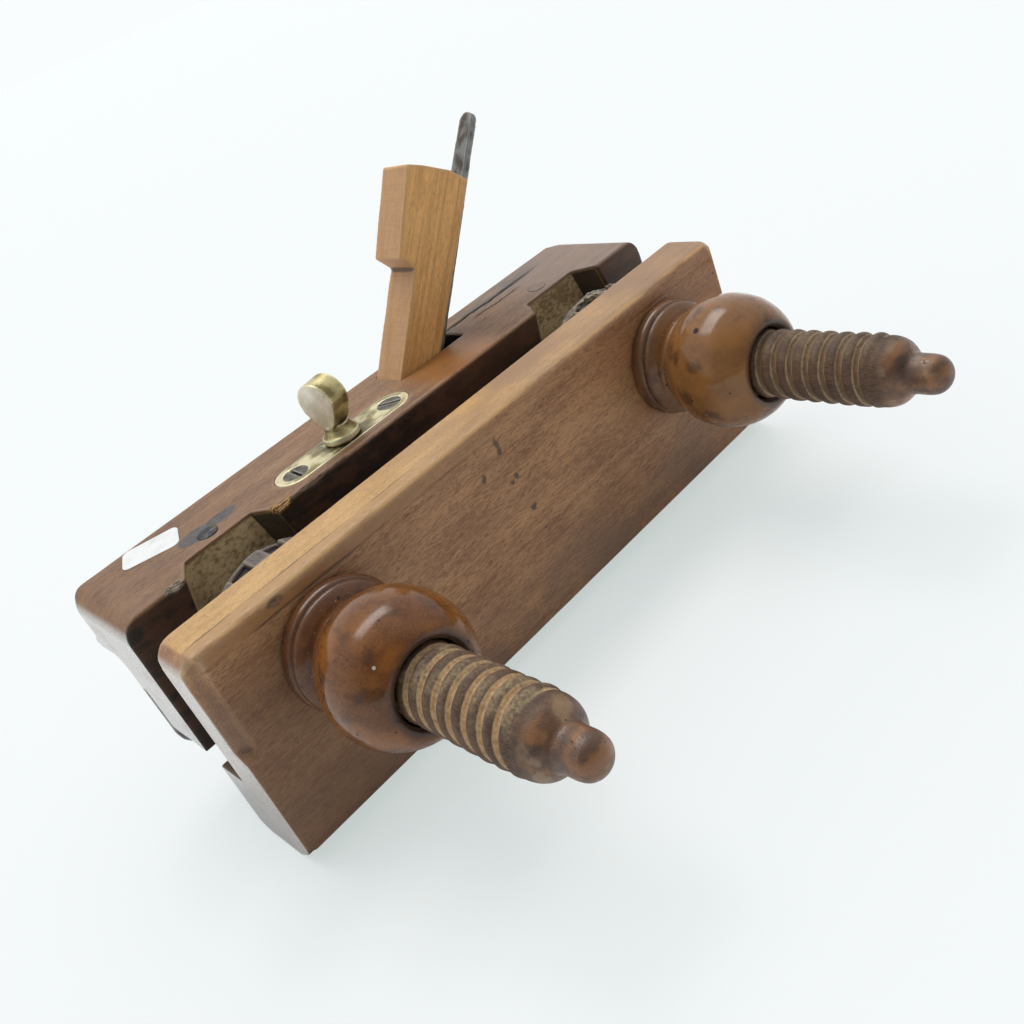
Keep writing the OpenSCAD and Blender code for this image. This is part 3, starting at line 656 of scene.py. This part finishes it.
for mark_x, mark_z, half_long, half_tall in dark_marks:
    off_x, off_z = (x - mark_x) * (1 / half_long), (z - mark_z) * (1 / half_tall)
    mark = on_face * (off_x * off_x + off_z * off_z + 5 * (blots - 0.5)).rise(1.5, 0.5)
    colour = (0.8 * mark).mix(colour, (0.05, 0.038, 0.032))
pricks = streaks(paint, at, 1.1, 1.0, 1, 90).rise(0.745, 0.78)
colour = (0.8 * pricks * y.rise(fence_face + 1.0, fence_face + 0.2)).mix(colour, (0.03, 0.02, 0.015))
splinters = streaks(paint, at, 3.5, 0.35, 2, 50)
colour = (0.6 * bare).mix(colour, splinters.rise(0.35, 0.65).mix((0.04, 0.026, 0.018), (0.20, 0.12, 0.07)))
# Painted shade: the fence's inner face, which faces the body, is painted darker below its top.
shaded_inner_face = y.rise(-0.8, -0.2) * z.rise(fence_top - 0.5, fence_top - 2.5)
colour = (0.6 * shaded_inner_face).mix(colour, (0.05, 0.03, 0.02))
gloss = 0.40 + 0.25 * cloud + 0.2 * bare - 0.14 * on_bead * x.rise(40, -40) - 0.38 * end_grain(paint)
end_grain_sheen = end_grain(paint) * cloud.rise(0.15, 0.5)
# Painted reflection: the toe's end grain is whitened by a pale grey sheen, on top of a real glossy coat.
colour = (0.12 * end_grain_sheen * x.rise(-100, -104)).mix(colour, (0.62, 0.68, 0.69))
lay(paint, colour, gloss, relief + 0.25 * bare * splinters - 0.2 * pricks,
    {"Coat Weight": 0.6 * end_grain_sheen, "Coat Roughness": 0.15})
fence.data.materials.append(golden)

# The nuts: close-grained boxwood, turned on the lathe and varnished, one on each stem outside the fence.
# A flat flange bears on the fence, a fine groove and a cove part it from the ball that the hand turns.
nut_face, bore, groove_out, cove_out, nut_sides = -17.3, 10.35, 4.5, 9.0, 128
nut_points = [
    (bore, 0.6), (10.9, 0.1), (11.4, 0.0), (16.6, 0.0), (17.35, 0.35), (17.7, 1.3), (17.75, 2.6),
    (17.4, 3.7), (16.9, 4.15), (16.75, groove_out), (17.0, 4.75), (17.2, 5.3), (16.7, 6.4), (15.2, 7.7),
    (13.9, 8.5), (13.45, 9.3), (13.9, 10.0), (15.4, 11.8), (17.3, 14.6), (18.9, 18.4), (19.6, 22.4),
    (19.6, 25.6), (18.9, 29.6), (17.5, 33.0), (15.7, 35.8), (13.9, 37.6), (12.5, 38.4), (11.4, 38.4),
    (10.7, 37.7), (bore, 36.6), (bore, 30.0), (bore, 20.0), (bore, 10.0), (bore, 3.0),
]
nut_line = flowing(nut_points, 5)[:-1]

# The nuts' colour: red-brown under varnish, darker at the flange and the bore, with wormholes and specks.
varnished, paint, at = new_material("varnished_boxwood")
x, y, z = at.parts()
swung = along_y(paint, at)
colour, relief = wood(paint, swung, (0.108, 0.033, 0.008), (0.205, 0.076, 0.016), 7.0)
patches = streaks(paint, at, 11, 9, 4, 61)
colour = (0.6 * patches.rise(0.46, 0.66)).mix(colour, (0.28, 0.10, 0.015))
colour = (0.35 * x.rise(-30, 30)).mix(colour, (0.36, 0.19, 0.075))
colour = (0.65 * streaks(paint, at, 8, 7, 4, 66).rise(0.54, 0.68)).mix(colour, (0.055, 0.022, 0.011))
out = nut_face - y
colour = (0.5 * out.rise(9.0, 6.0)).mix(colour, (0.10, 0.052, 0.034))
groove = abs(out - groove_out).rise(0.45, 0.15)
colour = (0.85 * groove).mix(colour, (0.012, 0.008, 0.006))
from_axis_x, from_axis_z = abs(x) - stem_x, z - stem_z
from_axis = paint.math("SQRT", from_axis_x * from_axis_x + from_axis_z * from_axis_z)
round_bore = from_axis.rise(13.6, 11.2) * out.rise(30, 36)
colour = (0.75 * round_bore).mix(colour, (0.035, 0.028, 0.025))
wormholes = streaks(paint, at, 1.7, 1.7, 0, 33).rise(0.815, 0.83)
colour = (0.95 * wormholes).mix(colour, (0.008, 0.006, 0.005))
in_cove = abs(out - cove_out).rise(2.2, 0.8) + groove
white_specks = in_cove * streaks(paint, at, 0.5, 0.5, 0, 39).rise(0.78, 0.82)
colour = (0.8 * white_specks).mix(colour, (0.55, 0.50, 0.42))
worm_hole = ((58.0, -41.4, 64.7), 0.9, (0.008, 0.006, 0.005))
pale_chip = ((-78.5, -52.8, 61.1), 0.45, (0.50, 0.45, 0.36))
for spot, spot_r, spot_colour in (worm_hole, pale_chip):
    away = paint.add("VectorMath", {"operation": "DISTANCE"}, {0: at, 1: spot}, "Value")
    colour = away.rise(1.15 * spot_r, 0.8 * spot_r).mix(colour, spot_colour)
gloss = 0.15 + 0.22 * streaks(paint, at, 5, 4, 4, 45).rise(0.45, 0.75) + 0.3 * round_bore
lay(paint, colour, gloss, 0.3 * relief - 0.5 * wormholes,
    {"Specular IOR Level": 0.2, "Coat Weight": 0.35, "Coat Roughness": 0.05})
for nut_side, nut_name in ((-1, "toe_nut"), (1, "heel_nut")):
    radius = np.empty((len(nut_line), nut_sides))
    for row, (wide, along) in enumerate(nut_line):
        for i in range(nut_sides):
            turn = math.tau * i / nut_sides
            uneven = noise.noise((1.3 * math.cos(turn), along / 14, 1.3 * math.sin(turn) + 9 * nut_side))
            radius[row, i] = wide * (0.998 + 0.006 * min(uneven, 0.2)) if wide > bore + 0.8 else wide
    nut = lathe("turned_" + nut_name, radius, nut_face - nut_line[:, 1], (nut_side * stem_x, stem_z), True)
    nut.data.materials.append(varnished)
    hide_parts(nut_name)
    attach(nut, nut_name + "_body")

# The lock nuts: beech discs with a toothed crown that screw along the stems and lock the fence from behind.
# Years of knocking round with a peg have broken the teeth, and the heel's has crumbled to grey end grain.
grey_beech, paint, at = new_material("grey_beech")
x, y = at.parts()[:2]
arris = paint.mark("arris")
bare = paint.mark("bare")
swung = along_y(paint, at)
colour, relief = wood(paint, swung, (0.07, 0.049, 0.039), (0.165, 0.13, 0.107), 11.0)
at_heel = x.rise(-20, 20)
crumbs = streaks(paint, at, 1.3, 1.1, 4, 64)
colour = (0.8 * at_heel).mix(colour, crumbs.rise(0.36, 0.64).mix((0.07, 0.05, 0.037), (0.46, 0.38, 0.29)))
colour = (0.5 * arris.rise(0.04, 0.2)).mix(colour, (0.30, 0.245, 0.19))
# Grime and painted shade in the creases.
colour = (0.8 * arris.rise(-0.02, -0.14)).mix(colour, (0.025, 0.018, 0.014))
smooth_disc = y.rise(9.2, 9.8)
colour = (0.5 * smooth_disc * (1 - at_heel)).mix(colour, (0.10, 0.062, 0.055))
splinters = streaks(paint, swung, 3.0, 0.3, 2, 52)
broken = splinters.rise(0.35, 0.65).mix((0.07, 0.05, 0.035), (0.36, 0.28, 0.18))
colour = (0.8 * bare).mix(colour, broken)
lay(paint, colour, 0.6 + 0.25 * bare, 1.5 * relief + 0.35 * bare * splinters + 0.3 * at_heel * crumbs)
lock_chips = {
    "toe_lock": [((-83.0, 3.5, 66.0), (4.0, 5.0, 2.6)), ((-88.5, 4.0, 58.5), (3.0, 5.0, 4.0)),
                 ((-54.5, 2.0, 65.5), (2.0, 2.4, 2.0))],
    "heel_lock": [((56.2, 4.0, 66.8), (3.2, 5.0, 2.6)), ((66.0, 2.5, 70.6), (2.6, 3.0, 2.0)),
                  ((76.0, 5.5, 69.8), (3.0, 3.4, 2.4)), ((84.2, 4.0, 65.0), (3.0, 4.5, 2.6))],
}
crown_back, crumbled_r, crumb_size, crumb_depth = 11.0, 17.0, 1.7, 0.8
for lock_name, chips in lock_chips.items():
    lock = worn(lock_name + "_nut", "worn_" + lock_name + "_nut", 0.36, 2, chips)
    if lock_name == "heel_lock":
        facing = [vert.normal.copy() for vert in lock.data.vertices]
        for vert, outward in zip(lock.data.vertices, facing):
            across, along, up = vert.co / MM
            if along < crown_back and math.hypot(across - stem_x, up - stem_z) > crumbled_r:
                crumb = max(0.0, 0.35 + noise.noise(vert.co / (crumb_size * MM)))
                vert.co -= outward * crumb_depth * crumb * MM
        lock.data.update()
    lock.data.materials.append(grey_beech)
    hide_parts(lock_name + "_nut")
    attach(lock, lock_name + "_body")

# The skates: two strips of rolled steel let into the body's lower outer face and screwed on.
# They run in the groove, so their lower edges are bright and the rest is brown with age.
skate_steel, paint, at = new_material("skate_steel")
z = at.parts()[2]
arris = paint.mark("arris")
rust = streaks(paint, at, 7, 4, 4, 14)
scratches = streaks(paint, at, 30, 0.35, 2, 15)
colour = rust.rise(0.4, 0.65).mix((0.20, 0.19, 0.185), (0.085, 0.055, 0.038))
bright = z.rise(24, 19.5) * rust.rise(0.7, 0.45)
colour = (0.7 * bright + 0.4 * arris.rise(0.03, 0.12)).mix(colour, (0.42, 0.41, 0.40))
lay(paint, colour, 0.34 + 0.35 * rust + 0.1 * scratches, 0.03 * scratches + 0.05 * rust,
    {"Metallic": 0.85 - 0.5 * rust.rise(0.45, 0.7)})
for skate_name in ("front_skate", "rear_skate"):
    skate = worn(skate_name, "worn_" + skate_name, 0.35, 1)
    skate.data.materials.append(skate_steel)
    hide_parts(skate_name)
    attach(skate, "stock")

# The screws: slotted steel wood screws, two with countersunk heads in the brass plate, five in the skates.
# No two slots came to rest at the same angle.
grey_steel, paint, at = new_material("grey_steel")
arris = paint.mark("arris")
sheen_and_tarnish = streaks(paint, at, 1.6, 1.3, 3, 25)
colour = sheen_and_tarnish.rise(0.4, 0.7).mix((0.14, 0.125, 0.105), (0.066, 0.052, 0.04))
colour = (0.85 * arris.rise(-0.01, -0.06)).mix(colour, (0.03, 0.024, 0.02))
colour = (0.4 * arris.rise(0.02, 0.08)).mix(colour, (0.45, 0.43, 0.40))
lay(paint, colour, 0.36 + 0.3 * sheen_and_tarnish, 0.06 * sheen_and_tarnish, {"Metallic": 0.85})
for screw_name in ("skate_screws", "plate_screws"):
    screws = worn(screw_name, "worn_" + screw_name, 0.2, 1)
    screws.data.materials.append(grey_steel)
    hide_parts(screw_name)
    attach(screws, "stock")

# The iron: a narrow forged cutter of iron faced with steel, bedded on the slope under the wedge.
# Its tang is brown with rust at the struck end, and its ground edge is bright.
iron = worn("iron", "worn_iron", 0.28, 2)
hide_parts("iron")
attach(iron, "iron_body")
forged, paint, at = new_material("forged_iron")
z = at.parts()[2]
arris = paint.mark("arris")
rust = streaks(paint, at, 4, 3, 4, 81)
colour = rust.rise(0.4, 0.66).mix((0.22, 0.225, 0.21), (0.085, 0.084, 0.077))
struck = z.rise(112, 128)
colour = (0.45 * struck * rust.rise(0.4, 0.62)).mix(colour, (0.13, 0.075, 0.045))
ground = z.rise(24, 20)
colour = ground.mix(colour, (0.46, 0.45, 0.44))
colour = (0.55 * arris.rise(0.04, 0.16)).mix(colour, (0.36, 0.35, 0.34))
lay(paint, colour, 0.42 + 0.3 * rust - 0.15 * ground, 0.12 * rust, {"Metallic": 0.8})
iron.data.materials.append(forged)

# The wedge: a tapered slip of straight-grained beech, paler than the body, that jams the iron on its bed.
# It is sawn and planed to fit, notched at the head for drawing out, and burred where it is tapped.
bed_angle = math.radians(49.5)
wedge_chips = [((66, 38, 112), (2.5, 2.0, 1.6)), ((62, 51, 108), (2.0, 1.8, 1.6))]
wedge = worn("wedge", "worn_wedge", 0.4, 2, wedge_chips)
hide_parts("wedge")
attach(wedge, "wedge_body")
tan_beech, paint, at = new_material("wedge_beech")
arris = paint.mark("arris")
bare = paint.mark("bare")
laid = paint.add("Mapping", {}, {"Vector": at, "Rotation": (0, bed_angle, 0)})
colour, relief = wood(paint, laid, (0.68, 0.345, 0.105), (0.92, 0.51, 0.18), 15.0, 0.4)
lines = streaks(paint, laid, 150, 0.7, 3, 21)
colour = (0.4 * lines.rise(0.50, 0.64)).mix(colour, (0.46, 0.215, 0.062))
cloud = streaks(paint, laid, 18, 6, 3, 17)
front = paint.facing().rise(-0.55, -0.72)
colour = (0.6 * front).mix(colour, (0.40, 0.232, 0.136))
saw = streaks(paint, laid, 0.55, 14, 2, 19)
colour = (0.2 * front * saw.rise(0.4, 0.65)).mix(colour, (0.34, 0.18, 0.09))
colour = (0.3 * cloud.rise(0.52, 0.72)).mix(colour, (0.46, 0.21, 0.06))
colour = (0.5 * arris.rise(0.04, 0.2)).mix(colour, (0.62, 0.38, 0.18))
# Grime and painted shade in the creases.
colour = (0.8 * arris.rise(-0.02, -0.14)).mix(colour, (0.06, 0.035, 0.02))
lay(paint, colour, 0.46 + 0.25 * cloud + 0.15 * bare, relief + 0.1 * front * saw)
wedge.data.materials.append(tan_beech)

# The depth stop: a cast brass thumbscrew turns in a ring on a brass plate let into the body's top.
# It drives a brass shoe down from the sole, which sets how deep the groove is cut.
cast_brass, paint, at = new_material("cast_brass")
arris = paint.mark("arris")
tarnish = streaks(paint, at, 6, 5, 4, 51)
pits = streaks(paint, at, 0.7, 0.7, 2, 53)
colour = tarnish.rise(0.38, 0.62).mix((0.70, 0.62, 0.38), (0.26, 0.21, 0.10))
x, y, z = at.parts()
screw_x, screw_y = -21.0, 28.7
off_x, off_y = x - screw_x, y - screw_y
from_screw = paint.math("SQRT", off_x * off_x + off_y * off_y)
rim = from_screw.rise(12, 6.5) + 0.7 * abs(off_y).rise(4.6, 6.3)
caked = z.rise(body_top + 0.3, body_top + 0.05) * rim * streaks(paint, at, 3, 2.5, 4, 57).rise(0.3, 0.55)
colour = (0.8 * caked).mix(colour, (0.075, 0.062, 0.032))
dull = tarnish.rise(0.35, 0.65).mix((0.46, 0.37, 0.15), (0.17, 0.13, 0.05))
colour = (0.6 * z.rise(body_top + 0.4, body_top + 0.9)).mix(colour, dull)
worn_flat = z.rise(body_top + 4, body_top + 6) * paint.facing().rise(-0.7, -0.9)
bright = tarnish.rise(0.3, 0.7).mix((0.95, 0.93, 0.84), (0.78, 0.74, 0.60))
colour = (0.85 * worn_flat).mix(colour, bright)
colour = (0.85 * arris.rise(-0.01, -0.09)).mix(colour, (0.035, 0.027, 0.016))
colour = (0.75 * arris.rise(0.02, 0.10)).mix(colour, (0.78, 0.71, 0.48))
colour = (0.6 * pits.rise(0.66, 0.74)).mix(colour, (0.09, 0.07, 0.04))
lay(paint, colour, 0.24 + 0.32 * tarnish, 0.10 * pits + 0.05 * tarnish, {"Metallic": 0.9})
brass_pieces = [("depth_plate", "stock"), ("depth_screw", "thumbscrew"), ("screw_ring", "thumbscrew"),
                ("ring_pin", "thumbscrew"), ("depth_shoe", "shoe")]
for brass_name, brass_body in brass_pieces:
    brass = worn(brass_name, "worn_" + brass_name, 0.22, 2)
    brass.data.materials.append(cast_brass)
    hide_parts(brass_name)
    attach(brass, brass_body)
